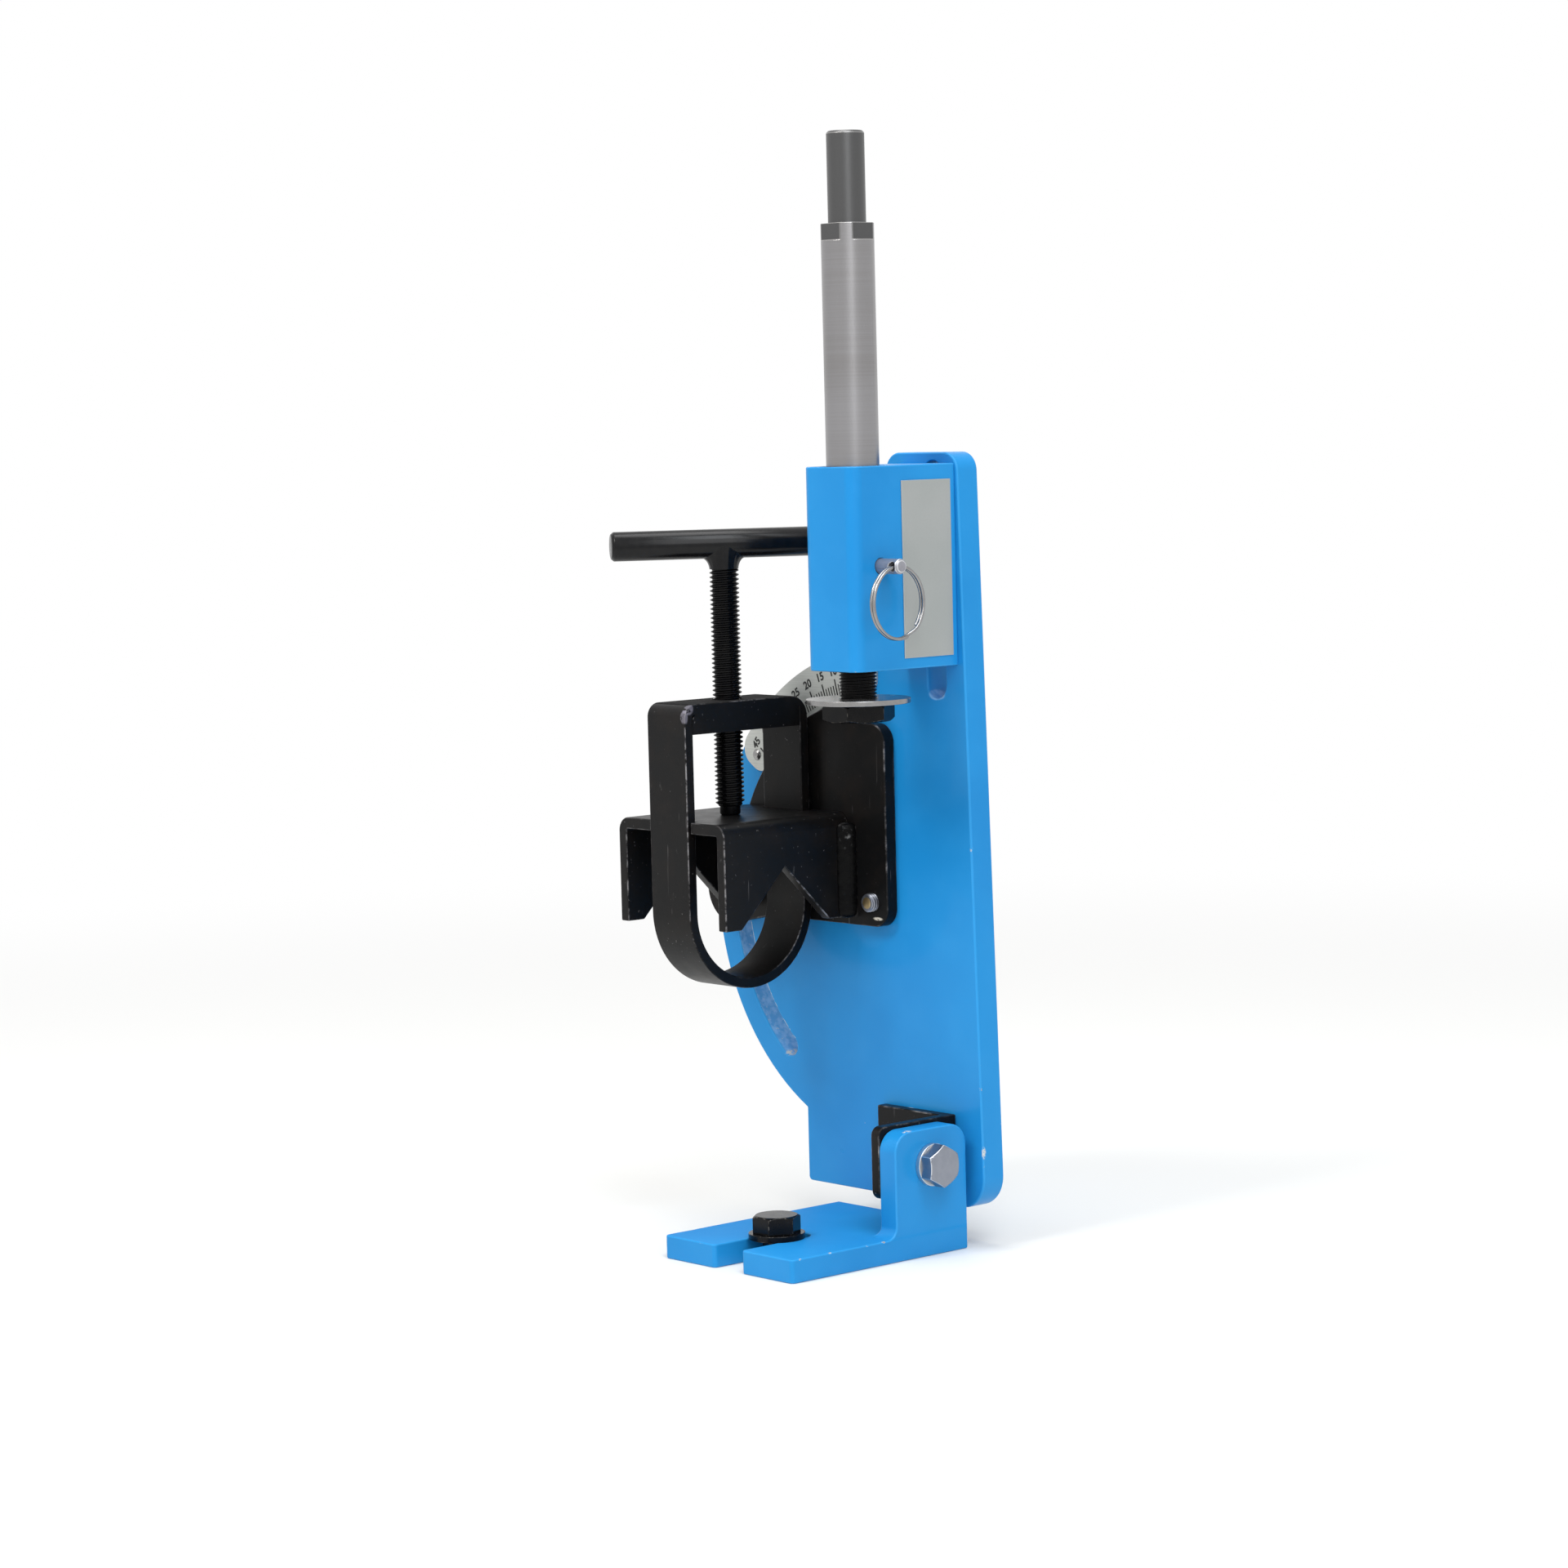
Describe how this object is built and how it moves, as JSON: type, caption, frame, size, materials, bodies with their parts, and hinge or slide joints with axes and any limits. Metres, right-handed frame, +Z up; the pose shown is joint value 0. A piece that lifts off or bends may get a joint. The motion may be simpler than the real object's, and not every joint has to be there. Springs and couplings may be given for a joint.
{
  "type": "tube notcher",
  "caption": "Drill-driven tube notcher: a slotted foot, tilting frame plate with a degree scale, arbor housing and a swinging V clamp with a strap and tee screw.",
  "frame": {"origin": "where the table bolt's axis meets the table's face, under the foot", "axes": "+Z up along the arbor and the table bolt, +X along the frame plate to the foot's ear, +Y from the arbor back to the frame plate"},
  "size_m": [0.1725, 0.1294, 0.4992],
  "materials": {
    "blue_paint": "gloss blue enamel",
    "black_paint": "satin black paint, worn to metal on its edges",
    "black_oxide": "oiled black oxide",
    "zinc_plate": "bright zinc plate",
    "yellow_zinc": "yellow zinc plate",
    "ground_steel": "ground steel",
    "bright_steel": "bright steel",
    "scale_metal": "satin aluminium with black marks",
    "label_foil": "satin silver foil, bare",
    "bronze": "bearing bronze"
  },
  "bodies": {
    "foot": {"foot_bracket": "blue_paint", "table_bolt": "black_oxide", "table_washer": "black_oxide", "tilt_bolt": "zinc_plate", "tilt_spring_washer": "zinc_plate", "tilt_nut": "zinc_plate"},
    "knuckle": {"angle_bracket": "black_paint", "swivel_bolt": "zinc_plate", "swivel_washer": "zinc_plate", "swivel_nut": "zinc_plate"},
    "frame": {"frame_plate": "blue_paint", "scale_plate": "scale_metal", "scale_rivets": "scale_metal"},
    "housing": {"arbor_housing": "blue_paint", "label_plate": "label_foil", "housing_bolts": "zinc_plate", "housing_washers": "zinc_plate", "bush_circlips": "bright_steel"},
    "bushes": {"upper_bush": "bronze", "lower_bush": "bronze"},
    "arbor": {"arbor_shaft": "ground_steel", "saw_washer": "bright_steel", "saw_nut": "black_oxide"},
    "lock_pin": {"lock_pin": "bright_steel"},
    "pin_ring": {"pin_ring": "bright_steel"},
    "clamp": {"swing_plate": "black_paint", "v_channel": "black_paint", "pivot_bolt": "yellow_zinc", "pivot_washer": "yellow_zinc", "lock_bolt": "yellow_zinc", "lock_washer": "yellow_zinc"},
    "screw": {"clamp_screw": "black_oxide", "tee_bar": "black_oxide"},
    "strap": {"clamp_strap": "black_paint", "strap_nut_block": "black_paint"}
  },
  "joints": [
    {"name": "base_tilt", "type": "hinge", "parent": "foot", "child": "knuckle", "pos_m": [0.028, 0.052, 0.039], "axis": [1, 0, 0], "range_deg": [-6, 20]},
    {"name": "frame_swivel", "type": "hinge", "parent": "knuckle", "child": "frame", "pos_m": [0.009, 0.0765, 0.04], "axis": [0, 1, 0], "range_deg": [-10, 10]},
    {"name": "housing_height", "type": "slide", "parent": "frame", "child": "housing", "axis": [0, 0, 1], "range_m": [-0.025, 0.012]},
    {"name": "arbor_spin", "type": "hinge", "parent": "housing", "child": "bushes", "pos_m": [0.022, 0.0335, 0.292], "axis": [0, 0, 1], "continuous": true},
    {"name": "arbor_feed", "type": "slide", "parent": "bushes", "child": "arbor", "axis": [0, 0, 1], "range_m": [-0.09, 0.01]},
    {"name": "lock_pin_slide", "type": "slide", "parent": "housing", "child": "lock_pin", "axis": [1, 0, 0], "range_m": [-0.0005, 0.003]},
    {"name": "ring_swing", "type": "hinge", "parent": "lock_pin", "child": "pin_ring", "pos_m": [0.0475, 0.0335, 0.292], "axis": [0, -1, 0], "range_deg": [-12, 95]},
    {"name": "clamp_angle", "type": "hinge", "parent": "frame", "child": "clamp", "pos_m": [-0.013, 0.0735, 0.1445], "axis": [0, -1, 0], "range_deg": [0, 45]},
    {"name": "screw_turn", "type": "hinge", "parent": "clamp", "child": "screw", "pos_m": [-0.062, 0.0335, 0.183], "axis": [0, 0, 1], "range_deg": [-6840, 6120]},
    {"name": "strap_lift", "type": "slide", "parent": "clamp", "child": "strap", "axis": [0, 0, 1], "range_m": [-0.0335, 0.0375]}
  ],
  "couplings": [
    {"joint": "strap_lift", "follows": "screw_turn", "m_per_rad": -0.00031099}
  ]
}
